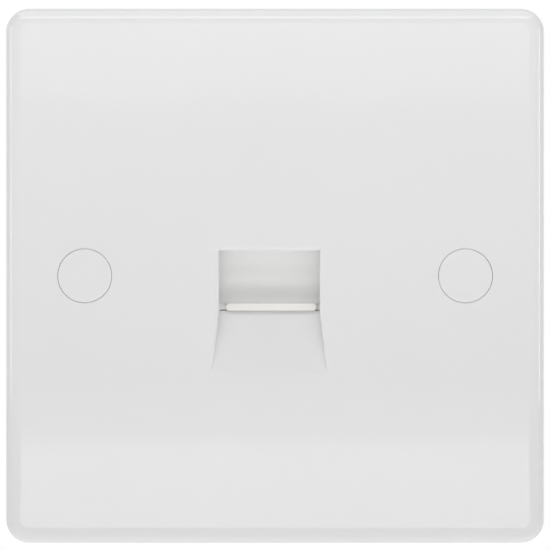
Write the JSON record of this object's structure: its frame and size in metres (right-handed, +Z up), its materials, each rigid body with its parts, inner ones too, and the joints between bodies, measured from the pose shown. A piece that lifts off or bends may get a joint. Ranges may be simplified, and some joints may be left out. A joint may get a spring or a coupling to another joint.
{
  "type": "telephone wall socket",
  "caption": "Flush square telephone wall socket with a concave sprung sliding shutter over a slanted plug chamber, capped fixing screws, and a terminal block behind.",
  "frame": {"origin": "in the wall plane, on the back rim of the faceplate, midway between the two fixing screws", "axes": "+X to the right seen from the front, +Y into the wall along the fixing screws, +Z up; the front face looks along -Y"},
  "size_m": [0.086, 0.0287, 0.0854],
  "materials": {
    "plate_plastic": "moulded white, semi-gloss",
    "shutter_plastic": "moulded warm white, semi-gloss",
    "housing_plastic": "moulded off-white, fine matt",
    "contact_plastic": "moulded black, fine matt",
    "gilt_wire": "gold-plated bronze wire",
    "spring_steel": "drawn spring wire",
    "plated_steel": "bright zinc plate",
    "board_laminate": "green solder mask",
    "block_plastic": "moulded white",
    "tinned_bronze": "tin plate"
  },
  "bodies": {
    "socket": {"faceplate": "plate_plastic", "cover_cap_left": "plate_plastic", "cover_cap_right": "plate_plastic", "fixing_screw_left": "plated_steel", "fixing_screw_right": "plated_steel", "jack_housing": "housing_plastic", "shutter_spring": "spring_steel", "contact_carrier": "contact_plastic", "contact_retainer": "contact_plastic", "contact_wire_1": "gilt_wire", "contact_wire_2": "gilt_wire", "contact_wire_3": "gilt_wire", "contact_wire_4": "gilt_wire", "contact_wire_5": "gilt_wire", "contact_wire_6": "gilt_wire", "circuit_board": "board_laminate", "board_screw_left": "plated_steel", "board_screw_right": "plated_steel", "idc_block": "block_plastic", "idc_terminal_1": "tinned_bronze", "idc_terminal_2": "tinned_bronze", "idc_terminal_3": "tinned_bronze", "idc_terminal_4": "tinned_bronze", "idc_terminal_5": "tinned_bronze", "idc_terminal_6": "tinned_bronze"},
    "shutter": {"shutter": "shutter_plastic"}
  },
  "joints": [
    {"name": "shutter_slide", "type": "slide", "parent": "socket", "child": "shutter", "axis": [0, 0, 1], "range_m": [0, 0.0115], "stiffness_N_per_m": 30, "springref_m": -0.003, "deforming": ["shutter_spring"]}
  ]
}
